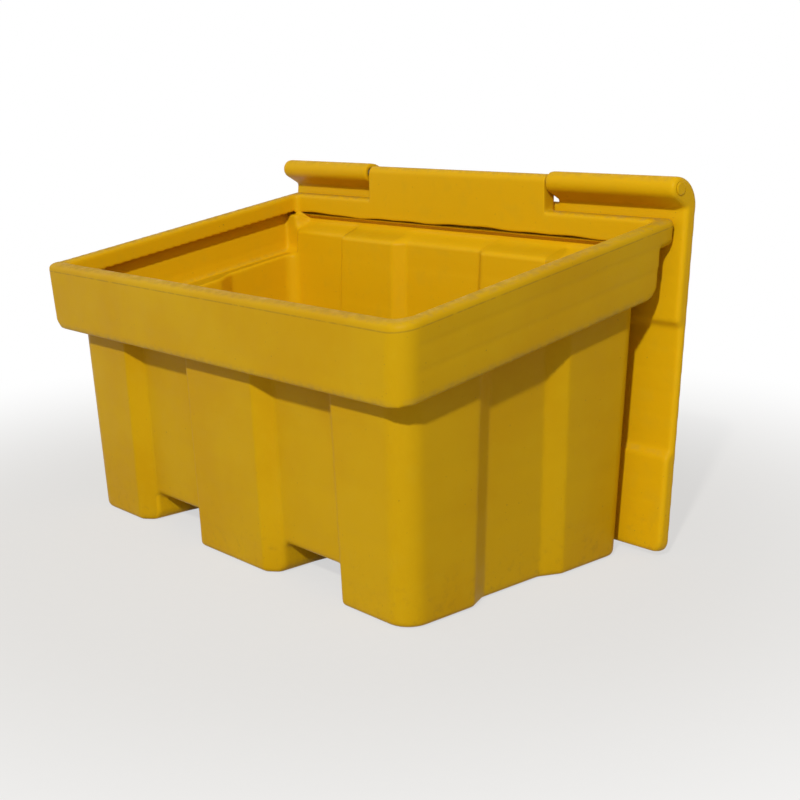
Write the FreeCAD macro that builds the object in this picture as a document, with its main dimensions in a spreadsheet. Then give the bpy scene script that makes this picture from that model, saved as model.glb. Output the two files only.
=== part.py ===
import FreeCAD, Part
import math
import os
import re
import Sketcher

# Grit salt bin, moulded in plastic, with its lid swung open and hanging behind it.
# Millimetres, +Z up, +Y towards the back, origin on the ground in the middle of the footprint.

DIMENSIONS = {
    "wall": 5.0,
    "wall_lean": 2.12,
    # footprint of the tub on the ground and its corner rounds
    "body_half_x": 536.0,
    "body_front": 298.0,
    "body_rear": 289.5,
    "body_round_front": 50.0,
    "body_round_rear": 35.0,
    "body_top": 700.0,
    "body_base_round": 12.0,
    "relief_round": 9.0,
    # recessed fields of the front wall, the rear wall and the side walls
    "foot_half_x": 111.0,
    "foot_inner_x": 358.0,
    "field_near_x": 154.5,
    "field_far_x": 315.0,
    "field_depth": 21.0,
    "back_field_near_x": 138.0,
    "back_field_far_x": 341.0,
    "back_field_depth": 23.0,
    "side_field_front": 131.0,
    "side_field_rear": 114.0,
    "side_field_slope": 45.6,
    "side_field_depth": 21.0,
    # channels for the forks of a truck
    "channel_near_x": 154.5,
    "channel_far_x": 315.0,
    "channel_height": 64.0,
    "channel_round": 12.0,
    "channel_foot_round": 25.0,
    # rim: its top lies in a plane that rises towards the back
    "rim_half_x": 600.0,
    "rim_front": 357.5,
    "rim_rear": 366.5,
    "rim_mid_z": 623.0,
    "rim_slope": 9.37,
    "rim_depth": 146.0,
    "rim_rear_depth": 54.0,
    "rim_inset_x": 12.5,
    "rim_inset_y": 6.0,
    "rim_waist_y": 240.0,
    "ear_inner_x": 530.0,
    "ear_rear_y": 320.0,
    "rim_round_front": 44.0,
    "rim_round_rear": 18.0,
    "ear_round": 28.0,
    "rim_band_round": 10.0,
    "rim_edge_round": 12.0,
    # mouth of the bin and the skirt that hangs inside it
    "mouth_half_x": 565.0,
    "mouth_front": 324.0,
    "mouth_rear": 334.0,
    "mouth_round_front": 30.0,
    "mouth_round_rear": 14.0,
    "mouth_edge_round": 9.0,
    "skirt_depth": 42.0,
    # hinge
    "axis_y": 350.25,
    "axis_z": 740.5,
    "tab_half_x": 282.0,
    "rod_radius": 10.0,
    "rod_wall": 2.5,
    "rod_clearance": 0.06,
    "rod_half_length": 615.5,
    "plug_head_radius": 13.0,
    "plug_head_height": 2.5,
    "plug_stem_length": 25.0,
    "plug_taper": 1.0,
    # lid, in its own frame: hinge axis through the origin, front edge towards -Y, top up
    "lid_half_x": 616.0,
    "lid_lean": 4.8,
    "lid_front": 731.0,
    "lid_front_draft": 4.0,
    "lid_top": 25.5,
    "lid_field": 37.5,
    "lid_edge": 58.0,
    "lid_rear_centre": 35.5,
    "lid_field_front": 517.0,
    "lid_field_front_top": 532.0,
    "lid_field_rear": 271.0,
    "lid_field_rear_top": 258.0,
    "lid_flank": 37.0,
    "roll_radius": 22.5,
    "lid_corner_round": 22.0,
    "lid_fold_round": 9.0,
    "lid_step_round": 5.0,
    "lid_flank_round": 12.0,
    "notch_half_x": 288.0,
    "notch_depth": 41.0,
}

doc = FreeCAD.newDocument("grit_bin")
sheet = doc.addObject("Spreadsheet::Sheet", "Dim")
for row, (name, size) in enumerate(DIMENSIONS.items(), start=1):
    sheet.set("A%d" % row, name)
    sheet.set("B%d" % row, str(size))
    sheet.setAlias("B%d" % row, name)
doc.recompute()


def bound(text):
    """The expression with each dimension's name pointing at its cell."""
    cell = lambda word: "Dim." + word.group() if word.group() in DIMENSIONS else word.group()
    return re.sub(r"[a-z_]+", cell, text)


def value(text):
    """The number that an expression on the dimensions gives now."""
    number = sheet.evalExpression(bound(text))
    return float(getattr(number, "Value", number))


def origin_plane(body, role):
    return next(item for item in body.Origin.OriginFeatures if item.Role == role)


def new_sketch(body, name, plane, lift="0"):
    """A sketch on a plane of the body's origin, lifted along its normal."""
    sketch = body.newObject("Sketcher::SketchObject", name)
    sketch.AttachmentSupport = [(origin_plane(body, plane), "")]
    sketch.MapMode = "FlatFace"
    sketch.AttachmentOffset.Base.z = value(lift)
    sketch.setExpression("AttachmentOffset.Base.z", bound(lift))
    return sketch


def add_loop(sketch, corners, centres=None):
    """A closed loop, each corner held by two distances from the sketch's origin.

    The edge that leaves a corner is straight, or an arc to the left about the centre given for that corner.
    """
    centres = centres or {}
    first = sketch.GeometryCount
    count = len(corners)
    points = [FreeCAD.Vector(value(x), value(y), 0) for x, y in corners]
    for i in range(count):
        start, end = points[i], points[(i + 1) % count]
        if i not in centres:
            sketch.addGeometry(Part.LineSegment(start, end), False)
            continue
        centre = FreeCAD.Vector(value(centres[i][0]), value(centres[i][1]), 0)
        circle = Part.Circle(centre, FreeCAD.Vector(0, 0, 1), (start - centre).Length)
        turns = [math.atan2(point.y - centre.y, point.x - centre.x) for point in (start, end)]
        sketch.addGeometry(Part.ArcOfCircle(circle, turns[0], turns[1]), False)
    rules = [Sketcher.Constraint("Coincident", first + i, 2, first + (i + 1) % count, 1)
             for i in range(count)]
    rules += [Sketcher.Constraint("DistanceX", -1, 1, first + i, 1, points[i].x) for i in range(count)]
    rules += [Sketcher.Constraint("DistanceY", -1, 1, first + i, 1, points[i].y) for i in range(count)]
    rules += [Sketcher.Constraint("DistanceY", -1, 1, first + i, 3, value(centres[i][1])) for i in centres]
    start = sketch.ConstraintCount
    sketch.addConstraint(rules)
    heights = [y for x, y in corners] + [centres[i][1] for i in centres]
    for i, (x, y) in enumerate(corners):
        sketch.setExpression("Constraints[%d]" % (start + count + i), bound(x))
    for i, y in enumerate(heights):
        sketch.setExpression("Constraints[%d]" % (start + 2 * count + i), bound(y))


def loop_sketch(body, name, plane, corners, lift="0", centres=None):
    sketch = new_sketch(body, name, plane, lift)
    add_loop(sketch, corners, centres)
    return sketch


def mirrored(half):
    """A whole outline from its right half, listed from the front to the back."""
    return half + [("-(%s)" % x, y) for x, y in reversed(half)]


def feature(body, kind, name, **settings):
    """A feature of the body, set up, computed and made its tip."""
    item = body.newObject("PartDesign::" + kind, name)
    for key, setting in settings.items():
        setattr(item, key, setting)
    doc.recompute()
    body.Tip = item
    return item


def through_cut(body, name, sketch):
    """A pocket right through the body, both ways from its sketch."""
    before = body.Shape.Volume
    item = feature(body, "Pocket", name, Profile=sketch, Type=1, Midplane=True)
    if before - item.Shape.Volume < 1.0:
        raise RuntimeError(name + " cuts nothing")
    return item


def round_edges(body, name, radius, test):
    """A fillet on the edges of the body's tip that pass a test of their shape."""
    base = body.Tip
    chosen = ["Edge%d" % (i + 1) for i, edge in enumerate(base.Shape.Edges) if test(edge)]
    if not chosen:
        raise RuntimeError(name + " finds no edge")
    item = body.newObject("PartDesign::Fillet", name)
    item.Base = (base, chosen)
    item.setExpression("Radius", bound(radius))
    doc.recompute()
    body.Tip = item
    if item.Shape.isNull() or "Invalid" in item.State or not item.Shape.isValid():
        raise RuntimeError("%s fails on %d edges" % (name, len(chosen)))
    return item


def spans(edge):
    box = edge.BoundBox
    return box.XLength, box.YLength, box.ZLength


def upright(edge):
    """True on an edge that runs mostly up."""
    x, y, z = spans(edge)
    return z > 4.0 * max(x, y)


def middle(edge):
    return edge.valueAt((edge.FirstParameter + edge.LastParameter) / 2)


def tub_corners(inset, height):
    """The tub's outline at a height: recessed fields on all four walls, walls leaning outwards."""
    grow = "(%s) * tan(wall_lean) - %s" % (height, inset)
    front = "-(body_front + %s)" % grow
    rear = "body_rear + %s" % grow
    side = "body_half_x + %s" % grow
    half = [
        ("foot_half_x", front),
        ("field_near_x", front + " + field_depth"),
        ("field_far_x", front + " + field_depth"),
        ("foot_inner_x", front),
        (side, front),
        (side, "-side_field_front"),
        (side + " - side_field_depth", "-side_field_front + side_field_slope"),
        (side + " - side_field_depth", "side_field_rear - side_field_slope"),
        (side, "side_field_rear"),
        (side, rear),
        ("foot_inner_x", rear),
        ("back_field_far_x", rear + " - back_field_depth"),
        ("back_field_near_x", rear + " - back_field_depth"),
        ("foot_half_x", rear),
    ]
    return mirrored(half)


def sloped(y, drop):
    """Height of a point a given drop below the rim's top plane."""
    return "rim_mid_z + (%s) * tan(rim_slope) - (%s)" % (y, drop)


def rounded_foot(y, drop, radius):
    """Start, end and centre of the arc from an edge parallel to the rim to an upright face."""
    reach = "(%s) * tan((90 - rim_slope) / 2)" % radius
    corner = sloped(y, drop)
    start = ("%s - %s * cos(rim_slope)" % (y, reach), "%s - %s * sin(rim_slope)" % (corner, reach))
    end = (y, "%s + %s" % (corner, reach))
    centre = ("%s - (%s)" % (y, radius), "%s + %s" % (corner, reach))
    return start, end, centre


def collar_side(inset):
    """Side outline of the overhanging rim: deep in front of the waist, a shallow band behind it."""
    front = "-(rim_front - %s)" % inset
    front_foot = "-(rim_front - rim_inset_y - %s)" % inset
    rear = "rim_rear - %s" % inset
    start, end, centre = rounded_foot(rear, "rim_rear_depth - " + inset, "rim_band_round - " + inset)
    corners = [
        (front_foot, sloped(front_foot, "rim_depth - " + inset)),
        ("rim_waist_y", sloped("rim_waist_y", "rim_depth - " + inset)),
        ("rim_waist_y", sloped("rim_waist_y", "rim_rear_depth - " + inset)),
        start,
        end,
        (rear, sloped(rear, inset)),
        (front, sloped(front, inset)),
    ]
    return corners, {3: centre}


def ear_side(inset):
    """Side outline of the deep rim's two ends, which reach back past the rear wall."""
    rear = "ear_rear_y - %s" % inset
    start, end, centre = rounded_foot(rear, "rim_depth - " + inset, "ear_round - " + inset)
    corners = [
        ("rim_waist_y", sloped("rim_waist_y", "rim_depth - " + inset)),
        start,
        end,
        (rear, sloped(rear, "rim_rear_depth / 2")),
        ("rim_waist_y", sloped("rim_waist_y", "rim_rear_depth / 2")),
    ]
    return corners, {1: centre}


def cross_block(body, name, kind, corners, half_x, centres=None):
    """A pad or pocket of a side outline, as far to the left as to the right."""
    sketch = loop_sketch(body, name + "_side", "YZ_Plane", corners, centres=centres)
    item = feature(body, kind, name, Profile=sketch, Midplane=True, Length=2 * value(half_x))
    item.setExpression("Length", bound("2 * (%s)" % half_x))
    doc.recompute()
    return item


def lean(body, name, angle, faces, neutral):
    """Faces of the body's tip turned by an angle about where they meet a face that stays."""
    base = body.Tip
    item = feature(body, "Draft", name, Base=(base, faces), NeutralPlane=(base, [neutral]),
                   Angle=value(angle))
    item.setExpression("Angle", bound(angle))
    return item


def face_names(shape, test):
    return ["Face%d" % (i + 1) for i, face in enumerate(shape.Faces) if test(face)]


def box_outline(left, right, low, high):
    return [(left, low), (right, low), (right, high), (left, high)]


def at_floor(edge, height):
    """True on an edge with both ends at the height, also one that arches over a channel's mouth."""
    return all(abs(vertex.Z - height) < 1.0 for vertex in edge.Vertexes)


def runs_back(edge, height):
    """True on a long edge of a channel, from the front to the back."""
    x, y, z = spans(edge)
    return at_floor(edge, height) and y > 400 and abs(middle(edge).x) < value("foot_inner_x")


def between_planes(body, edge):
    """True on a sharp edge: the faces on both its sides are flat."""
    faces = body.Tip.Shape.ancestorsOfType(edge, Part.Face)
    return all(type(face.Surface).__name__ == "Plane" for face in faces)


def bin_form(name, inset):
    """The bin as a solid block: its outside with inset 0, its hollow with inset wall."""
    body = doc.addObject("PartDesign::Body", name)
    base = loop_sketch(body, name + "_base", "XY_Plane", tub_corners(inset, inset), lift=inset)
    tub = feature(body, "Pad", name + "_tub", Profile=base, Length=value("body_top - " + inset))
    tub.setExpression("Length", bound("body_top - " + inset))
    doc.recompute()
    walls = face_names(tub.Shape, lambda face: abs(face.normalAt(0, 0).z) < 0.5)
    floor = face_names(tub.Shape, lambda face: face.normalAt(0, 0).z < -0.5)[0]
    item = lean(body, name + "_lean", "wall_lean", walls, floor)
    item.Reversed = True
    doc.recompute()

    half_x = value("body_half_x") - 15
    for row, sign in (("front", -1), ("rear", 1)):
        corner_y = value("body_" + row) - 20
        at_corner = lambda edge: abs(middle(edge).x) > half_x and sign * middle(edge).y > corner_y
        round_edges(body, name + "_corners_" + row, "body_round_%s - %s" % (row, inset),
                    lambda edge: upright(edge) and at_corner(edge))
    round_edges(body, name + "_relief", "relief_round",
                lambda edge: upright(edge) and between_planes(body, edge))

    channels = new_sketch(body, name + "_channel_ends", "XZ_Plane")
    for side in ("", "-"):
        near = "%s(channel_near_x - %s)" % (side, inset)
        far = "%s(channel_far_x + %s)" % (side, inset)
        add_loop(channels, box_outline(near, far, "-10", "channel_height + " + inset))
    through_cut(body, name + "_channels", channels)

    floor_z = value(inset)
    step_z = value("channel_height + " + inset)
    round_edges(body, name + "_channel_feet", "channel_foot_round - " + inset,
                lambda edge: runs_back(edge, floor_z))
    round_edges(body, name + "_channel_tops", "channel_round + " + inset,
                lambda edge: runs_back(edge, step_z))
    round_edges(body, name + "_floor_edge", "body_base_round - " + inset,
                lambda edge: at_floor(edge, floor_z) and not runs_back(edge, floor_z))

    above = "rim_rear_depth / 2"
    waste = [
        ("-rim_rear", sloped("-rim_rear", above)),
        ("rim_rear", sloped("rim_rear", above)),
        ("rim_rear", "2 * body_top"),
        ("-rim_rear", "2 * body_top"),
    ]
    cross_block(body, name + "_tub_top", "Pocket", waste, "rim_half_x")
    corners, centres = collar_side(inset)
    cross_block(body, name + "_collar", "Pad", corners, "rim_half_x - " + inset, centres)
    for side, sign in (("right", ""), ("left", "-")):
        corners, centres = ear_side(inset)
        lift = "ear_inner_x + " + inset if sign == "" else "-(rim_half_x - %s)" % inset
        sketch = loop_sketch(body, "%s_ear_%s_side" % (name, side), "YZ_Plane", corners, lift, centres)
        length = "rim_half_x - ear_inner_x - 2 * " + inset
        item = feature(body, "Pad", "%s_ear_%s" % (name, side), Profile=sketch, Length=value(length))
        item.setExpression("Length", bound(length))
    doc.recompute()
    top_face = face_names(body.Tip.Shape, lambda face: is_rim_top(face, inset))[0]
    end_x = value("rim_half_x - " + inset)
    end_faces = face_names(body.Tip.Shape, lambda face: abs(abs(face.CenterOfMass.x) - end_x) < 1)
    lean(body, name + "_collar_lean", "atan(rim_inset_x / rim_depth)", end_faces, top_face)
    doc.recompute()
    tab_pads(body, name, inset)
    return body


def parallel_to_rim(edge, depth):
    """True on an edge in the plane a given depth below the rim's top."""
    slope = math.tan(math.radians(value("rim_slope")))
    low = value(sloped("0", depth))
    points = [vertex.Point for vertex in edge.Vertexes] + [middle(edge)]
    return all(abs(point.z - low - point.y * slope) < 0.5 for point in points)


def is_rim_top(face, inset):
    """True on the tilted top of the rim."""
    if type(face.Surface).__name__ != "Plane" or face.normalAt(0, 0).z < 0.9:
        return False
    height = value(sloped("0", inset)) + face.CenterOfMass.y * math.tan(math.radians(value("rim_slope")))
    return abs(face.CenterOfMass.z - height) < 1.0


def add_circle(sketch, x, y, radius):
    """A circle held by its centre's two distances from the sketch's origin and its radius."""
    index = sketch.GeometryCount
    centre = FreeCAD.Vector(value(x), value(y), 0)
    sketch.addGeometry(Part.Circle(centre, FreeCAD.Vector(0, 0, 1), value(radius)), False)
    start = sketch.ConstraintCount
    sketch.addConstraint([
        Sketcher.Constraint("DistanceX", -1, 1, index, 3, centre.x),
        Sketcher.Constraint("DistanceY", -1, 1, index, 3, centre.y),
        Sketcher.Constraint("Radius", index, value(radius)),
    ])
    for i, text in enumerate((x, y, radius)):
        sketch.setExpression("Constraints[%d]" % (start + i), bound(text))


def cross_rod(body, name, kind, x, y, radii, half_length):
    """A round pad or pocket across the object, with a circle for each radius."""
    sketch = new_sketch(body, name + "_circle", "YZ_Plane")
    for radius in radii:
        add_circle(sketch, x, y, radius)
    item = feature(body, kind, name, Profile=sketch, Midplane=True, Length=2 * value(half_length))
    item.setExpression("Length", bound("2 * (%s)" % half_length))
    doc.recompute()
    return item


def tab_pads(body, name, inset):
    """The middle tab of the hinge: a plate with a round head about the hinge axis."""
    radius = "(rim_rear - mouth_rear) / 2 - " + inset
    foot = sloped("axis_y", "rim_rear_depth / 2")
    plate = box_outline("axis_y - (%s)" % radius, "axis_y + (%s)" % radius, foot, "axis_z")
    cross_block(body, name + "_tab", "Pad", plate, "tab_half_x - " + inset)
    cross_rod(body, name + "_tab_head", "Pad", "axis_y", "axis_z", [radius], "tab_half_x - " + inset)


def rim_rounds(body, name, inset):
    """Corners and top edge of the overhanging rim. The hollow's two rear corners stay square."""
    half_x = value("rim_half_x - rim_inset_x - " + inset) - 2
    front = value("rim_front - rim_inset_y - " + inset) - 2
    rear = value("rim_rear - " + inset) - 1
    at_end = lambda edge: abs(middle(edge).x) > half_x and between_planes(body, edge)
    round_edges(body, name + "_rim_corners_front", "rim_round_front - " + inset,
                lambda edge: at_end(edge) and middle(edge).y < -front and upright(edge))
    if inset == "0":
        round_edges(body, name + "_rim_corners_rear", "rim_round_rear",
                    lambda edge: at_end(edge) and middle(edge).y > rear and upright(edge))
    corner_reach = value("rim_round_front") / 2
    outside = lambda edge: (abs(middle(edge).x) > half_x - corner_reach
                            or not corner_reach - front < middle(edge).y < rear - 1)
    faces_at = lambda edge: body.Tip.Shape.ancestorsOfType(edge, Part.Face)
    at_top = lambda edge: any(is_rim_top(face, inset) for face in faces_at(edge))
    round_edges(body, name + "_rim_top", "rim_edge_round - " + inset,
                lambda edge: at_top(edge) and outside(edge))


def lid_outline(inset):
    """Side outline of the lid in its own frame; the hollow's outline is open at the bottom."""
    shift = "0.35 * " + inset
    roll = "(roll_radius - %s)" % inset
    top = "lid_top + " + inset
    foot = "(lid_flank - 0.63 * %s)" % inset
    turn = "180 deg + atan((%s) / %s) - acos(%s / sqrt(%s ^ 2 + (%s) ^ 2))" % (top, foot, roll, foot, top)
    edge = "lid_edge" if inset == "0" else "lid_edge + 20"
    corners = [
        ("-(lid_front - %s)" % inset, "-(%s)" % edge),
        ("-lid_rear_centre", "-(%s)" % edge),
        ("-lid_rear_centre", "-(lid_edge - %s)" % inset),
        ("roll_radius - " + inset, "0"),
        ("%s * cos(%s)" % (roll, turn), "%s * sin(%s)" % (roll, turn)),
        ("-%s" % foot, "-(%s)" % top),
        ("-(lid_field_rear_top - %s)" % shift, "-(%s)" % top),
        ("-(lid_field_rear - %s)" % shift, "-(lid_field + %s)" % inset),
        ("-(lid_field_front + %s)" % shift, "-(lid_field + %s)" % inset),
        ("-(lid_field_front_top + %s)" % shift, "-(%s)" % top),
        ("-(lid_front - lid_front_draft - %s)" % inset, "-(%s)" % top),
    ]
    if inset == "0":
        del corners[1]
    arc = corners.index(("roll_radius - " + inset, "0"))
    return corners, {arc - 1: ("-lid_rear_centre", "0"), arc: ("0", "0")}


def lid_form(name, inset):
    """The lid as a solid block in its own frame: its outside with inset 0, its hollow with inset wall."""
    body = doc.addObject("PartDesign::Body", name)
    corners, centres = lid_outline(inset)
    cross_block(body, name + "_block", "Pad", corners, "lid_half_x - " + inset, centres)
    notch = box_outline("-(notch_depth + %s)" % inset, "2 * roll_radius",
                        "-2 * lid_edge", "2 * roll_radius")
    cross_block(body, name + "_notch", "Pocket", notch, "notch_half_x + " + inset)
    lid_rounds(body, name, inset)
    return body


def lid_rounds(body, name, inset):
    """Corners, steps and folds of the lid, in its own frame. The flank's foot is round outside only."""
    end_x = value("lid_half_x - " + inset)
    front = -value("lid_front - lid_front_draft - " + inset)
    levels = [-value(text + inset) for text in ("lid_top + ", "lid_field + ")]
    foot_y = -value("lid_flank") - 5
    across = lambda edge: edge.BoundBox.XLength > 500
    at_end = lambda edge: all(abs(abs(vertex.X) - end_x) < 0.5 for vertex in edge.Vertexes)
    at_side = lambda edge: abs(abs(middle(edge).x) - end_x) < 0.5
    round_edges(body, name + "_corners", "lid_corner_round - " + inset,
                lambda edge: at_end(edge) and upright(edge) and middle(edge).y < front + 6)
    on_level = lambda edge: any(at_floor(edge, level) for level in levels)
    step = lambda edge: across(edge) and on_level(edge) and front + 20 < middle(edge).y < foot_y
    round_edges(body, name + "_steps", "lid_step_round", step)
    at_foot = lambda edge: at_floor(edge, levels[0]) and abs(middle(edge).y - foot_y) < 8
    flank = lambda edge: across(edge) and at_foot(edge)
    if inset == "0":
        round_edges(body, name + "_flank", "lid_flank_round", flank)
    side = lambda edge: not across(edge) and at_side(edge) and middle(edge).z > levels[1] - 1
    lip = lambda edge: at_floor(edge, levels[0]) and middle(edge).y < front + 60
    round_edges(body, name + "_folds", "lid_fold_round - " + inset, lambda edge: side(edge) or lip(edge))


def combined(body, tool, name, kind):
    """The body joined with another one, or cut by it."""
    item = body.newObject("PartDesign::Boolean", name)
    item.setObjects([tool])
    item.Type = kind
    doc.recompute()
    body.Tip = item


def mouth_block(name, grow, head, foot):
    """The mouth's outline, grown on all sides, as a block between two planes parallel to the rim."""
    body = doc.addObject("PartDesign::Body", name)
    half_x, front, rear = ["(mouth_%s + %s)" % (side, grow) for side in ("half_x", "front", "rear")]
    front_round, rear_round = ["(mouth_round_%s + %s)" % (row, grow) for row in ("front", "rear")]
    front_centre = ("%s - %s" % (half_x, front_round), "%s - %s" % (front_round, front))
    rear_centre = ("%s - %s" % (half_x, rear_round), "%s - %s" % (rear, rear_round))
    half = [
        (front_centre[0], "-" + front),
        (half_x, front_centre[1]),
        (half_x, rear_centre[1]),
        (rear_centre[0], rear),
    ]
    centres = {
        0: front_centre,
        2: rear_centre,
        4: ("-(%s)" % rear_centre[0], rear_centre[1]),
        6: ("-(%s)" % front_centre[0], front_centre[1]),
    }
    plan = loop_sketch(body, name + "_plan", "XY_Plane", mirrored(half), centres=centres)
    column = feature(body, "Pad", name + "_column", Profile=plan, Length=2 * value("body_top"))
    column.setExpression("Length", bound("2 * body_top"))
    above = [
        ("-rim_half_x", sloped("-rim_half_x", head)),
        ("rim_half_x", sloped("rim_half_x", head)),
        ("rim_half_x", "3 * body_top"),
        ("-rim_half_x", "3 * body_top"),
    ]
    below = [
        ("-rim_half_x", "-body_top"),
        ("rim_half_x", "-body_top"),
        ("rim_half_x", sloped("rim_half_x", foot)),
        ("-rim_half_x", sloped("-rim_half_x", foot)),
    ]
    cross_block(body, name + "_above", "Pocket", above, "rim_half_x")
    cross_block(body, name + "_below", "Pocket", below, "rim_half_x")
    return body


def make_bin():
    body = bin_form("bin_body", "0")
    rim_rounds(body, "bin_body", "0")
    hollow = bin_form("bin_hollow", "wall")
    rim_rounds(hollow, "bin_hollow", "wall")
    combined(body, hollow, "bin_inside", "Cut")
    skirt = mouth_block("skirt_block", "wall", "wall / 2", "skirt_depth")
    combined(body, skirt, "skirt", "Fuse")
    mouth = mouth_block("mouth_block", "0", "-rim_depth", "skirt_depth + wall")
    combined(body, mouth, "mouth", "Cut")
    cross_rod(body, "tab_bores", "Pocket", "axis_y", "axis_z", ["rod_radius + rod_clearance"],
              "tab_half_x + wall")
    mouth_x, mouth_front, mouth_rear = [value("mouth_" + side) + 1 for side in ("half_x", "front", "rear")]
    inner = lambda edge: abs(middle(edge).x) < mouth_x and -mouth_front < middle(edge).y < mouth_rear
    round_edges(body, "mouth_edge", "mouth_edge_round",
                lambda edge: parallel_to_rim(edge, "0") and inner(edge))
    return body


def make_lid():
    body = lid_form("lid", "0")
    hollow = lid_form("lid_hollow", "wall")
    combined(body, hollow, "lid_inside", "Cut")
    cross_rod(body, "lid_bores", "Pocket", "0", "0", ["rod_radius"], "lid_half_x + 5")
    return body


def make_rod():
    body = doc.addObject("PartDesign::Body", "hinge_rod")
    cross_rod(body, "rod_tube", "Pad", "0", "0", ["rod_radius", "rod_radius - rod_wall"], "rod_half_length")
    return body


def make_plug(name):
    """A plug in its own frame: axis along X, head outwards, its stem in the bore of the rod."""
    body = doc.addObject("PartDesign::Body", name)
    stem = "rod_radius - rod_wall"
    outline = [
        ("-plug_stem_length", "0"),
        ("plug_head_height", "0"),
        ("plug_head_height", "plug_head_radius - 2 * plug_taper"),
        ("plug_head_height - plug_taper", "plug_head_radius"),
        ("0", "plug_head_radius"),
        ("0", stem),
        ("-(plug_stem_length - plug_taper)", stem),
        ("-plug_stem_length", stem + " - plug_taper"),
    ]
    sketch = loop_sketch(body, name + "_outline", "XY_Plane", outline)
    feature(body, "Revolution", name + "_turned", Profile=sketch, ReferenceAxis=(sketch, ["H_Axis"]),
            Angle=360.0)
    return body


def place(item, x, y, z, axis, angle):
    """The item's placement, its distances and angle bound to expressions."""
    turn = FreeCAD.Rotation(axis, value(angle))
    item.Placement = FreeCAD.Placement(FreeCAD.Vector(value(x), value(y), value(z)), turn)
    for path, text in (("Base.x", x), ("Base.y", y), ("Base.z", z), ("Rotation.Angle", angle)):
        item.setExpression("Placement." + path, bound(text))


across = FreeCAD.Vector(1, 0, 0)
up = FreeCAD.Vector(0, 0, 1)
bin_body = make_bin()
lid = make_lid()
place(lid, "0", "axis_y", "axis_z", across, "90 - lid_lean")
hinge_rod = make_rod()
place(hinge_rod, "0", "axis_y", "axis_z", up, "0")
plug_left = make_plug("hinge_plug_left")
place(plug_left, "-lid_half_x", "axis_y", "axis_z", up, "180")
plug_right = make_plug("hinge_plug_right")
place(plug_right, "lid_half_x", "axis_y", "axis_z", up, "0")
doc.recompute()

nodes = [bin_body, lid, hinge_rod, plug_left, plug_right]
for item in doc.Objects:
    if "Invalid" in item.State or "Error" in item.State:
        raise RuntimeError("%s: %s" % (item.Name, item.State))
for node in nodes:
    if node.Shape.isNull() or not node.Shape.isValid() or len(node.Shape.Solids) != 1:
        raise RuntimeError(node.Label + " is not one sound solid")

os.makedirs("parts", exist_ok=True)
for node in nodes:
    node.Shape.exportStep("parts/%s.step" % node.Label)
    box = node.Shape.BoundBox
    print("%s %.0f cm3, X %.1f to %.1f, Y %.1f to %.1f, Z %.1f to %.1f" % (
        node.Label, node.Shape.Volume / 1000, box.XMin, box.XMax, box.YMin, box.YMax, box.ZMin, box.ZMax))
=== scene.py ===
"""Looks of the grit salt bin: moulded yellow plastic, weathered, with its lid hanging behind it."""
import math

import bpy
import numpy as np
from mathutils import Matrix, Vector


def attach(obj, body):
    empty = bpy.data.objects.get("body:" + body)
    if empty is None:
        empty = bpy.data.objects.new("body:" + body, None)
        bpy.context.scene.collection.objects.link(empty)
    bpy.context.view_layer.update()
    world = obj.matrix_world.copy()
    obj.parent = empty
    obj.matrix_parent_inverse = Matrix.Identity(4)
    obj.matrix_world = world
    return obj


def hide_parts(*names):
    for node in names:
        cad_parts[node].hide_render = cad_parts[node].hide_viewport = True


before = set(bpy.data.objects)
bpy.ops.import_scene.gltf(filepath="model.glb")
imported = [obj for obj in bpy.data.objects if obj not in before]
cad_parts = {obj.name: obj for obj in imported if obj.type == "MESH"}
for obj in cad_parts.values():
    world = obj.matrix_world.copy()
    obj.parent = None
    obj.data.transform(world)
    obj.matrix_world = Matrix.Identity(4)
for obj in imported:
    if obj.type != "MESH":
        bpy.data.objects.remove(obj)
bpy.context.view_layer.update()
scene = bpy.context.scene

IMAGE_SIZE = 800

# the camera, solved from the straight edges of the object in the photograph
FOCAL_PIXELS = 1319.2
SENSOR_WIDTH = 36.0
CAMERA_PLACE = Vector((2.1531, -1.7397, 0.9318))
CAMERA_YAW = math.radians(48.41)
CAMERA_PITCH = math.radians(13.2)
CAMERA_ROLL = math.radians(-1.07)

# the rim: the plane of its top rises towards the back, and its depth is measured down from that plane
RIM_SLOPE = math.tan(math.radians(9.37))
RIM_MID_Z = 0.623
RIM_DEPTH = 0.146
RIM_HALF_X = 0.600
RIM_FRONT = 0.3575
RIM_INSET_X = 0.0125
RIM_INSET_Y = 0.006
RIM_ROUND = 0.044
RIM_ROUND_LEFT = 0.012
RIM_FOOT_ROUND_MORE = 0.018

# the mouth and the skirt that hangs inside the rim
MOUTH_HALF_X = 0.565
MOUTH_FRONT = 0.324
MOUTH_REAR = 0.334
MOUTH_ROUND = 0.030
MOUTH_ROUND_LEFT = 0.014
MOUTH_REACH = 0.065
SKIRT_DEPTH = 0.042
HEM_DROP = 0.004
HEM_WAVES = ((0.0016, 9.0, 0.8), (0.0012, 23.0, 0.0), (0.0007, 51.0, 2.0))

# the shoulder of the rear wall, and the ledge behind it: starts and ends of the stretch that moves
LEDGE_TOP = 0.049
LEDGE_DROP = 0.010
LEDGE_REAR = (0.350, 0.358)
SHOULDER_FOOT = 0.594
SHOULDER_HEIGHT = 0.028
SHOULDER_PULL = 0.75
SHOULDER_SIDE = (0.530, 0.556)
SHOULDER_FRONT = (0.262, 0.276)
SKIN_REAR = 0.361

# the front wall's fields: starts and ends of their flanks in the solid, and how far these move
FOOT_NEAR = 0.111
FIELD_NEAR = 0.1545
FIELD_FAR = 0.315
FOOT_FAR = 0.358
FLANK_SHIFT = 0.0085
FIELD_SINK = 0.0075
COLLAR_BACK = (-0.340, -0.325)
FRONT_WALL_BACK = (-0.200, -0.120)
FRONT_WALL_TOP = (0.43, 0.48)

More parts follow.
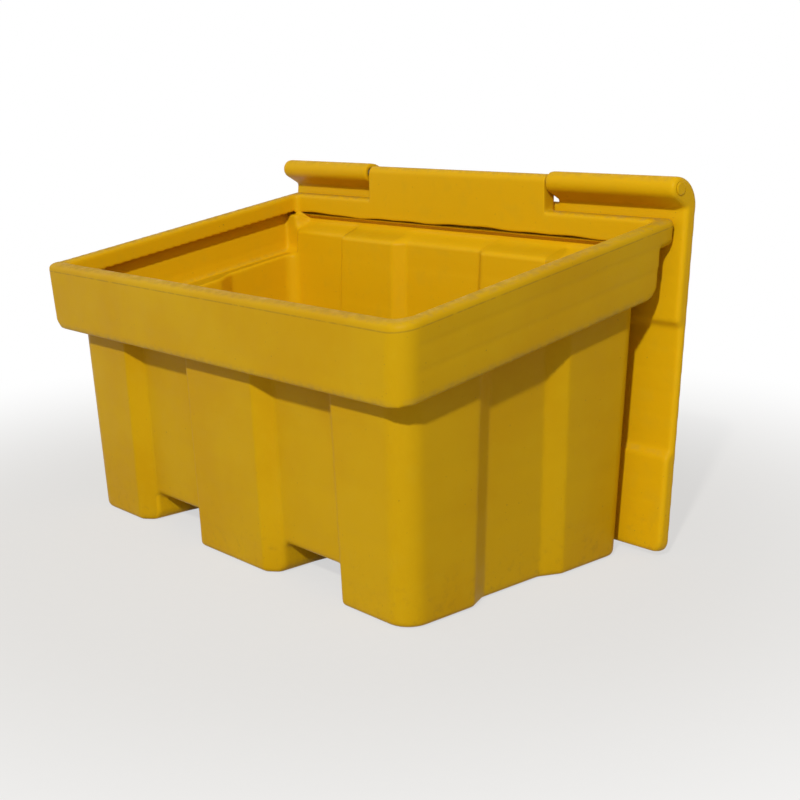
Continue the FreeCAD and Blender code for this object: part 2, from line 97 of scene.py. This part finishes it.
# mesh sizes and softening of the moulded shells
VOXEL = 0.0038
KEEP_FACES = 0.26
BIN_SOFTENING = 3
COLLAR_FOOT_SOFTENING = 7
COLLAR_FOOT_REACH = 0.045
LID_SOFTENING = 5
WEIGHT_LEVELS = 10

# colours, linear
YELLOW = (0.640, 0.392, 0.004, 1.0)
YELLOW_PALE = (0.640, 0.415, 0.016, 1.0)
YELLOW_DEEP = (0.600, 0.345, 0.002, 1.0)
# painted bounce light: a brighter, more saturated yellow for faces lit by light bounced around inside the
# bin
YELLOW_BOUNCE_LIT = (0.800, 0.475, 0.004, 1.0)
DUST = (0.40, 0.275, 0.085, 1.0)
GRIME = (0.16, 0.10, 0.03, 1.0)
RUBBED = (0.27, 0.20, 0.07, 1.0)
ZINC_DARK = (0.42, 0.43, 0.44, 1.0)
ZINC_LIGHT = (0.60, 0.61, 0.62, 1.0)
TARNISH = (0.24, 0.20, 0.16, 1.0)
FLOOR_DARK = (0.47, 0.47, 0.46, 1.0)
FLOOR_LIGHT = (0.50, 0.50, 0.49, 1.0)
WHITE = (1.0, 1.0, 1.0, 1.0)
SOFT_LIGHT = (1.0, 0.86, 0.68, 1.0)

# the collar's marks: where they lie, how wide they are and how much they show
LINE_BELOW = 0.0145
LINE_WIDTH = (0.0004, 0.0022)
LINE_STRENGTH = 0.34
RUBBING_ABOVE_FOOT = 0.004
RUBBING_WIDTH = (0.003, 0.014)
RUBBING_STRENGTH = 0.34
DUST_BELOW = (0.026, 0.038)

# the studio
FLOOR_RADIUS = 14.0
FLOOR_BELOW = 0.0005
WHITE_NEAR = 0.62
WHITE_REACH = (0.7, 2.0)
WORLD_STRENGTH = 0.33
LIT_POINT = (0.0, 0.0, 0.35)
KEY_PLACE = (4.4, -6.4, 5.85)
KEY_SIZE = 0.45
KEY_WATTS = 585.0
KEY_COLOUR = (1.0, 0.97, 0.92)
FILL_PLACE = (-4.0, -2.0, 2.6)
FILL_SIZE = 3.0
FILL_WATTS = 14.0
FILL_COLOUR = (0.93, 0.96, 1.0)


class Nodes:
    """A short way to lay out the nodes of a material or a world."""

    def __init__(self, owner, output="ShaderNodeOutputMaterial"):
        self.owner = owner
        owner.use_nodes = True
        self.tree = owner.node_tree
        self.tree.nodes.clear()
        self.output = self.add(output)

    def add(self, kind, inputs=None, **settings):
        node = self.tree.nodes.new(kind)
        for key, setting in settings.items():
            setattr(node, key, setting)
        for key, given in (inputs or {}).items():
            self.feed(node.inputs[key], given)
        return node

    def feed(self, socket, given):
        if isinstance(given, bpy.types.NodeSocket):
            self.tree.links.new(given, socket)
        else:
            socket.default_value = given

    def math(self, operation, first, second=0.5, clamp=False):
        node = self.add("ShaderNodeMath", operation=operation, use_clamp=clamp)
        self.feed(node.inputs[0], first)
        self.feed(node.inputs[1], second)
        return node.outputs[0]

    def product(self, first, *others):
        for other in others:
            first = self.math("MULTIPLY", first, other)
        return first

    def ramp(self, given, low, high, start=0.0, end=1.0):
        """A smooth step of a value, from start below low to end above high."""
        node = self.add("ShaderNodeMapRange", interpolation_type="SMOOTHSTEP")
        for key, setting in (("Value", given), ("From Min", low), ("From Max", high),
                             ("To Min", start), ("To Max", end)):
            self.feed(node.inputs[key], setting)
        return node.outputs["Result"]

    def fade(self, given, low, high):
        """1 below low and 0 above high."""
        return self.ramp(given, low, high, start=1.0, end=0.0)

    def mix(self, factor, first, second):
        node = self.add("ShaderNodeMix", data_type="RGBA", blend_type="MIX")
        self.feed(node.inputs[0], factor)
        self.feed(node.inputs[6], first)
        self.feed(node.inputs[7], second)
        return node.outputs[2]

    def noise(self, place, scale, detail=3.0, roughness=0.55, stretch=None, seed=0.0):
        """A noise value; stretch scales the place first, so that the pattern grows along an axis."""
        if stretch or seed:
            mapping = self.add("ShaderNodeMapping", {"Vector": place})
            mapping.inputs["Scale"].default_value = stretch or (1.0, 1.0, 1.0)
            mapping.inputs["Location"].default_value = (seed, 1.7 * seed, 0.3 * seed)
            place = mapping.outputs[0]
        node = self.add("ShaderNodeTexNoise", {"Vector": place, "Scale": scale, "Detail": detail,
                                               "Roughness": roughness})
        return node.outputs["Fac"]

    def plastic_or_metal(self, colour, rough, bump, settings):
        """The surface of a material, with the given inputs and settings."""
        inputs = {"Base Color": colour, "Roughness": rough, "Normal": bump.outputs[0]}
        shader = self.add("ShaderNodeBsdfPrincipled", {**inputs, **settings})
        self.feed(self.output.inputs["Surface"], shader.outputs[0])

    def seen_directly(self):
        """1 for what the camera sees, also by a mirror or through glass, and 0 for light that bounces."""
        rays = self.add("ShaderNodeLightPath")
        seen = self.math("ADD", rays.outputs["Is Camera Ray"], rays.outputs["Is Glossy Ray"])
        return self.math("ADD", seen, rays.outputs["Is Transmission Ray"], clamp=True)


def material_nodes(name):
    return Nodes(bpy.data.materials.new(name))


def below_rim(n, place):
    """How far a point lies below the plane of the rim's top."""
    rise = n.math("MULTIPLY", place.outputs["Y"], RIM_SLOPE)
    return n.math("SUBTRACT", n.math("ADD", rise, RIM_MID_Z), place.outputs["Z"])


def collar_wear(n, place, grain, colour):
    """The collar's marks: a thin dark line below its top edge, and grey rubbing along its foot."""
    below = below_rim(n, place)
    beside = n.ramp(n.math("ABSOLUTE", place.outputs["X"]), RIM_HALF_X - 0.024, RIM_HALF_X - 0.018)
    ahead = n.fade(place.outputs["Y"], 0.010 - RIM_FRONT, 0.016 - RIM_FRONT)
    outside = n.math("MAXIMUM", beside, ahead)
    off_line = n.math("ABSOLUTE", n.math("SUBTRACT", below, LINE_BELOW))
    line = n.product(n.fade(off_line, *LINE_WIDTH), n.ramp(grain, 0.30, 0.55))
    colour = n.mix(n.product(line, outside, LINE_STRENGTH), colour, GRIME)
    off_foot = n.math("ABSOLUTE", n.math("SUBTRACT", below, RIM_DEPTH - RUBBING_ABOVE_FOOT))
    foot = n.product(n.fade(off_foot, *RUBBING_WIDTH), n.ramp(grain, 0.28, 0.72))
    return n.mix(n.product(foot, outside, RUBBING_STRENGTH), colour, RUBBED)


def bounce_lit_inside(n, place, normal):
    """1 on walls that face the inside of the bin, where bounce light is painted as a brighter, more
    saturated yellow, and 0 outside.
    """
    along_x = n.product(place.outputs["X"], normal.outputs["X"])
    along_y = n.product(place.outputs["Y"], normal.outputs["Y"])
    return n.fade(n.math("ADD", along_x, along_y), -0.16, -0.04)


def yellow_plastic(name, dust_level, bounce_level=0.0, on_bin=False):
    """Satin moulded polyethylene: mottled, scratched, dusty where it faces up, grimy at the ground, with
    painted bounce light as a brighter, more saturated yellow inside the bin or over the whole lid.
    """
    n = material_nodes(name)
    place = n.add("ShaderNodeTexCoord").outputs["Object"]
    split = n.add("ShaderNodeSeparateXYZ", {"Vector": place})
    normal = n.add("ShaderNodeSeparateXYZ", {"Vector": n.add("ShaderNodeNewGeometry").outputs["Normal"]})
    facing_up = n.ramp(normal.outputs["Z"], 0.35, 0.95)

    clouds = n.noise(place, 3.2, detail=4.0)
    mottle = n.noise(place, 24.0, detail=4.0, seed=3.0)
    streaks = n.noise(place, 30.0, detail=3.0, stretch=(1.0, 1.0, 0.06), seed=5.0)
    colour = n.mix(n.ramp(clouds, 0.35, 0.68), YELLOW_DEEP, YELLOW)
    # painted bounce light: faces turned to the inside of the bin, or the whole lid, mixed towards a
    # brighter, more saturated yellow
    painted_bounce = n.product(bounce_lit_inside(n, split, normal), 0.9) if on_bin else bounce_level
    colour = n.mix(painted_bounce, colour, YELLOW_BOUNCE_LIT)
    colour = n.mix(n.product(n.ramp(mottle, 0.5, 0.75), 0.22), colour, YELLOW_PALE)
    colour = n.mix(n.product(n.ramp(streaks, 0.58, 0.80), 0.14), colour, YELLOW_PALE)

    slant = n.add("ShaderNodeMapping", {"Vector": place})
    slant.inputs["Rotation"].default_value = (0.5, 0.9, 0.2)
    across = n.noise(slant.outputs[0], 110.0, detail=2.0, stretch=(0.03, 1.0, 1.0), seed=2.0)
    patches = n.noise(place, 6.0, detail=3.0, seed=11.0)
    scratches = n.product(n.ramp(across, 0.69, 0.73), n.ramp(patches, 0.5, 0.6))
    colour = n.mix(n.product(scratches, 0.20), colour, YELLOW_PALE)

    grain = n.noise(place, 55.0, detail=6.0, roughness=0.7, seed=13.0)
    dust = n.product(n.ramp(grain, 0.38, 0.66), facing_up)
    if on_bin:
        dust = n.product(dust, n.fade(below_rim(n, split), *DUST_BELOW))
    colour = n.mix(n.product(dust, dust_level), colour, DUST)
    splash = n.product(n.ramp(grain, 0.5, 0.75), n.fade(split.outputs["Z"], 0.0, 0.16))
    colour = n.mix(n.product(splash, 0.22), colour, GRIME)
    specks = n.noise(place, 160.0, detail=2.0, seed=17.0)
    colour = n.mix(n.product(n.ramp(specks, 0.73, 0.77), 0.5), colour, GRIME)
    if on_bin:
        colour = collar_wear(n, split, grain, colour)

    peel = n.noise(place, 260.0, detail=2.0, seed=19.0)
    waves = n.noise(place, 14.0, detail=2.0, seed=23.0)
    relief = n.math("ADD", n.product(peel, 0.25), waves)
    relief = n.math("SUBTRACT", relief, n.product(scratches, 0.3))
    bump = n.add("ShaderNodeBump", {"Height": relief, "Strength": 0.35, "Distance": 0.0022})
    rough = n.ramp(mottle, 0.3, 0.8, start=0.40, end=0.52)
    rough = n.math("ADD", rough, n.product(dust, 0.35), clamp=True)
    n.plastic_or_metal(colour, rough, bump, {
        "IOR": 1.5,
        "Specular IOR Level": 0.08,
        "Subsurface Weight": 0.06,
        "Subsurface Radius": (1.0, 0.55, 0.1),
        "Subsurface Scale": 0.004,
    })
    return n.owner


def zinc_steel():
    """Zinc-plated steel of the hinge rod, dull, with faint lengthwise marks and a little tarnish."""
    n = material_nodes("zinc_steel")
    place = n.add("ShaderNodeTexCoord").outputs["Object"]
    drawn = n.noise(place, 400.0, detail=2.0, stretch=(0.02, 1.0, 1.0))
    tarnish = n.noise(place, 40.0, detail=4.0, seed=4.0)
    colour = n.mix(n.ramp(drawn, 0.35, 0.7), ZINC_DARK, ZINC_LIGHT)
    colour = n.mix(n.product(n.ramp(tarnish, 0.5, 0.7), 0.5), colour, TARNISH)
    rough = n.ramp(tarnish, 0.3, 0.7, start=0.32, end=0.6)
    bump = n.add("ShaderNodeBump", {"Height": drawn, "Strength": 0.2, "Distance": 0.0004})
    n.plastic_or_metal(colour, rough, bump, {"Metallic": 1.0})
    return n.owner


def working_piece(mesh):
    """The mesh in an object, for modifiers to work on."""
    piece = bpy.data.objects.new("working", mesh)
    scene.collection.objects.link(piece)
    return piece


def finished(piece):
    """The mesh as the modifiers of a working piece leave it; the piece itself goes."""
    made = bpy.data.meshes.new_from_object(piece.evaluated_get(bpy.context.evaluated_depsgraph_get()))
    bpy.data.objects.remove(piece)
    return made


def mesh_after(mesh, kind, **settings):
    """The mesh as one modifier leaves it."""
    piece = working_piece(mesh)
    modifier = piece.modifiers.new(kind.lower(), kind)
    for key, setting in settings.items():
        setattr(modifier, key, setting)
    return finished(piece)


def softened(mesh, iterations, weights=None):
    """The mesh with its edges rounded; weights say how much at each point."""
    piece = working_piece(mesh)
    modifier = piece.modifiers.new("soft", "SMOOTH")
    modifier.factor = 0.5
    modifier.iterations = iterations
    if weights is not None:
        piece.vertex_groups.clear()
        group = piece.vertex_groups.new(name="soft")
        shares = np.rint(weights * WEIGHT_LEVELS).astype(int)
        for level in range(1, WEIGHT_LEVELS + 1):
            group.add(np.flatnonzero(shares == level).tolist(), level / WEIGHT_LEVELS, "REPLACE")
        modifier.vertex_group = "soft"
    return finished(piece)


def points_of(mesh):
    points = np.empty(len(mesh.vertices) * 3, np.float32)
    mesh.vertices.foreach_get("co", points)
    return points.reshape(-1, 3)


def step(values, low, high):
    """0 below low and 1 above high, smooth between."""
    share = np.clip((values - low) / (high - low), 0.0, 1.0)
    return share * share * (3.0 - 2.0 * share)


def near(values, centre, half_width):
    """1 at the centre, 0 from a half width away."""
    return 1.0 - step(np.abs(values - centre), 0.4 * half_width, half_width)


def depth_below_rim(points):
    """How far each point lies below the plane of the rim's top."""
    return RIM_MID_Z + RIM_SLOPE * points[:, 1] - points[:, 2]


def moulded(node, body, shape, material):
    """A node's solid as it comes out of its mould, with soft edges. It stands for the node."""
    mesh = mesh_after(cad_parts[node].data.copy(), "REMESH", mode="VOXEL", voxel_size=VOXEL)
    mesh = shape(mesh)
    mesh = mesh_after(mesh, "DECIMATE", ratio=KEEP_FACES)
    mesh.polygons.foreach_set("use_smooth", [True] * len(mesh.polygons))
    mesh.materials.clear()
    mesh.materials.append(material)
    piece = bpy.data.objects.new(node + "_moulded", mesh)
    scene.collection.objects.link(piece)
    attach(piece, body)
    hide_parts(node)


def drawn_out(points, half_x, front, old_round, new_round, weights, reach=None):
    """The points about the left front corner moved so that its round gets smaller.

    With a reach, only the points up to that far from the round's centre move.
    """
    reach_x = -points[:, 0] - (half_x - old_round)
    reach_y = -points[:, 1] - (front - old_round)
    inside = (reach_x > 1e-6) & (reach_y > 1e-6)
    away = np.maximum(np.hypot(reach_x, reach_y), 1e-6)
    if reach:
        weights = weights * (1.0 - step(away, 0.6 * reach, reach))
    run_x = np.where(inside, reach_x / away, 1.0)
    run_y = np.where(inside, reach_y / away, 0.0)
    flat = old_round / np.maximum(run_x, run_y)
    centre = old_round - new_round
    along = centre * (run_x + run_y)
    rounded = along + np.sqrt(np.maximum(along ** 2 - 2.0 * centre ** 2 + new_round ** 2, 0.0))
    at_round = np.minimum(run_x, run_y) * flat > centre
    growth = weights * (np.where(at_round, rounded, flat) / old_round - 1.0)
    points[:, 0] -= np.where(inside, reach_x * growth, 0.0)
    points[:, 1] -= np.where(inside, reach_y * growth, 0.0)


def tightened_corner(points):
    """The left front corner of the collar and of the mouth, tighter than the right one."""
    below = depth_below_rim(points)
    depth = np.clip(below / RIM_DEPTH, 0.0, 1.0)
    drawn_out(points, MOUTH_HALF_X, MOUTH_FRONT, MOUTH_ROUND, MOUTH_ROUND_LEFT, below < 0.06,
              reach=MOUTH_REACH)
    left_round = RIM_ROUND_LEFT + RIM_FOOT_ROUND_MORE * step(depth, 0.86, 1.0)
    drawn_out(points, RIM_HALF_X - RIM_INSET_X * depth, RIM_FRONT - RIM_INSET_Y * depth,
              RIM_ROUND, left_round, below < RIM_DEPTH + 0.02)


def rear_shoulder(points):
    """The top of the rear wall swept back behind the skirt, and the ledge there set a little lower."""
    x, y, z = points.T.copy()
    below = depth_below_rim(points)
    across = 1.0 - step(np.abs(x), *SHOULDER_SIDE)
    at_rear = step(y, *SHOULDER_FRONT)
    ledge = step(below, LEDGE_TOP - 0.0045, LEDGE_TOP - 0.0005) * (1.0 - step(below, 0.08, 0.18))
    bend = step(z, SHOULDER_FOOT, SHOULDER_FOOT + SHOULDER_HEIGHT) * (below > LEDGE_TOP - 0.003)
    points[:, 2] -= LEDGE_DROP * ledge * across * at_rear * (1.0 - step(y, *LEDGE_REAR))
    points[:, 1] += SHOULDER_PULL * bend * across * at_rear * np.maximum(SKIN_REAR - y, 0.0)


def steeper_flanks(points):
    """The front wall's fields a little wider and deeper, the same on both sides, below the collar."""
    x, y, z = points.T.copy()
    beside = np.abs(x)
    at_front = step(y, *COLLAR_BACK) * (1.0 - step(y, *FRONT_WALL_BACK)) * (1.0 - step(z, *FRONT_WALL_TOP))
    centre = 0.5 * (FIELD_NEAR + FIELD_FAR)
    outward = np.interp(beside, (FOOT_NEAR, FIELD_NEAR, centre, FIELD_FAR, FOOT_FAR),
                        (0.0, -FLANK_SHIFT, 0.0, FLANK_SHIFT, 0.0))
    inward = np.interp(beside, (FOOT_NEAR, FIELD_NEAR, FIELD_FAR, FOOT_FAR),
                       (0.0, FIELD_SINK, FIELD_SINK, 0.0))
    points[:, 0] += np.sign(x) * outward * at_front
    points[:, 1] += inward * at_front


def wavy_hem(points):
    """The lower edge of the rear skirt, a little lower and not quite straight."""
    x, y = points.T[:2]
    below = depth_below_rim(points)
    hem = step(below, 0.016, SKIRT_DEPTH - 0.004) * (below < SKIRT_DEPTH + 0.002)
    rear_hem = hem * step(y, MOUTH_REAR - 0.012, MOUTH_REAR - 0.004) * (y < MOUTH_REAR + 0.012)
    wave = sum(height * np.sin(rate * x + start) for height, rate, start in HEM_WAVES)
    points[:, 2] += rear_hem * (wave - HEM_DROP)


def bin_shape(mesh):
    """Rounds of the bin: small ones everywhere, larger ones along the collar's foot."""
    mesh = softened(mesh, BIN_SOFTENING)
    points = points_of(mesh)
    x, y = points.T[:2]
    collar_foot = near(depth_below_rim(points), RIM_DEPTH, COLLAR_FOOT_REACH)
    collar_foot *= 1.0 - step(y, 0.29, 0.31) * (np.abs(x) < 0.52)
    mesh = softened(mesh, COLLAR_FOOT_SOFTENING, collar_foot)
    points = points_of(mesh)
    rear_shoulder(points)
    steeper_flanks(points)
    wavy_hem(points)
    tightened_corner(points)
    mesh.vertices.foreach_set("co", points.ravel())
    mesh.update()
    return mesh


def lid_shape(mesh):
    return softened(mesh, LID_SOFTENING)


def dress(node, material):
    """One material over the whole of a CAD node."""
    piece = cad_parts[node]
    piece.data.materials.clear()
    piece.data.materials.append(material)


def studio_floor():
    """A pale floor that keeps the shadow and melts into a white background."""
    n = material_nodes("studio_floor")
    place = n.add("ShaderNodeTexCoord").outputs["Object"]
    away = n.add("ShaderNodeVectorMath", {0: place}, operation="LENGTH").outputs["Value"]
    colour = n.mix(n.noise(place, 40.0, detail=3.0), FLOOR_DARK, FLOOR_LIGHT)
    surface = n.add("ShaderNodeBsdfDiffuse", {"Color": colour})
    white = n.add("ShaderNodeEmission", {"Color": WHITE, "Strength": 1.0})
    factor = n.product(n.ramp(away, *WHITE_REACH, start=WHITE_NEAR), n.seen_directly())
    mixed = n.add("ShaderNodeMixShader", {0: factor, 1: surface.outputs[0], 2: white.outputs[0]})
    n.feed(n.output.inputs["Surface"], mixed.outputs[0])

    bpy.ops.mesh.primitive_circle_add(vertices=96, radius=FLOOR_RADIUS, fill_type="NGON",
                                      location=(0.0, 0.0, -FLOOR_BELOW))
    floor = bpy.context.object
    floor.name = "studio_floor"
    floor.data.materials.append(n.owner)


def studio_world():
    """Soft light from all around, with white behind everything the camera sees."""
    n = Nodes(bpy.data.worlds.new("studio_world"), "ShaderNodeOutputWorld")
    scene.world = n.owner
    soft = n.add("ShaderNodeBackground", {"Color": SOFT_LIGHT, "Strength": WORLD_STRENGTH})
    white = n.add("ShaderNodeBackground", {"Color": WHITE, "Strength": 1.0})
    mixed = n.add("ShaderNodeMixShader", {0: n.seen_directly(), 1: soft.outputs[0], 2: white.outputs[0]})
    n.feed(n.output.inputs["Surface"], mixed.outputs[0])


def area_light(name, place, size, watts, colour):
    data = bpy.data.lights.new(name, "AREA")
    data.shape = "DISK"
    data.size = size
    data.energy = watts
    data.color = colour
    lamp = bpy.data.objects.new(name, data)
    lamp.location = place
    lamp.rotation_mode = "QUATERNION"
    lamp.rotation_quaternion = (Vector(LIT_POINT) - Vector(place)).to_track_quat("-Z", "Y")
    scene.collection.objects.link(lamp)


def lights():
    """A key light from the upper right front, and a weak fill from the left."""
    area_light("key", KEY_PLACE, KEY_SIZE, KEY_WATTS, KEY_COLOUR)
    area_light("fill", FILL_PLACE, FILL_SIZE, FILL_WATTS, FILL_COLOUR)


def camera():
    """The camera at the photograph's angle."""
    forward = Vector((-math.sin(CAMERA_YAW) * math.cos(CAMERA_PITCH),
                      math.cos(CAMERA_YAW) * math.cos(CAMERA_PITCH),
                      -math.sin(CAMERA_PITCH)))
    right = Vector((math.cos(CAMERA_YAW), math.sin(CAMERA_YAW), 0.0))
    above = right.cross(forward)
    rolled_right = right * math.cos(CAMERA_ROLL) + above * math.sin(CAMERA_ROLL)
    rolled_above = above * math.cos(CAMERA_ROLL) - right * math.sin(CAMERA_ROLL)
    data = bpy.data.cameras.new("camera")
    data.sensor_width = SENSOR_WIDTH
    data.lens = FOCAL_PIXELS * SENSOR_WIDTH / IMAGE_SIZE
    piece = bpy.data.objects.new("camera", data)
    scene.collection.objects.link(piece)
    axes = Matrix((rolled_right, rolled_above, -forward)).transposed()
    piece.matrix_world = Matrix.Translation(CAMERA_PLACE) @ axes.to_4x4()
    scene.camera = piece


# the plastic of the lid and the plugs, with painted bounce light: a brighter, more saturated yellow all
# over
shell = yellow_plastic("yellow_plastic", 0.30, bounce_level=0.85)
moulded("bin_body", "bin", bin_shape, yellow_plastic("yellow_plastic_bin", 0.42, on_bin=True))
moulded("lid", "lid", lid_shape, shell)
dress("hinge_rod", zinc_steel())
dress("hinge_plug_left", shell)
dress("hinge_plug_right", shell)
studio_floor()
studio_world()
lights()
camera()
scene.view_settings.view_transform = "Standard"
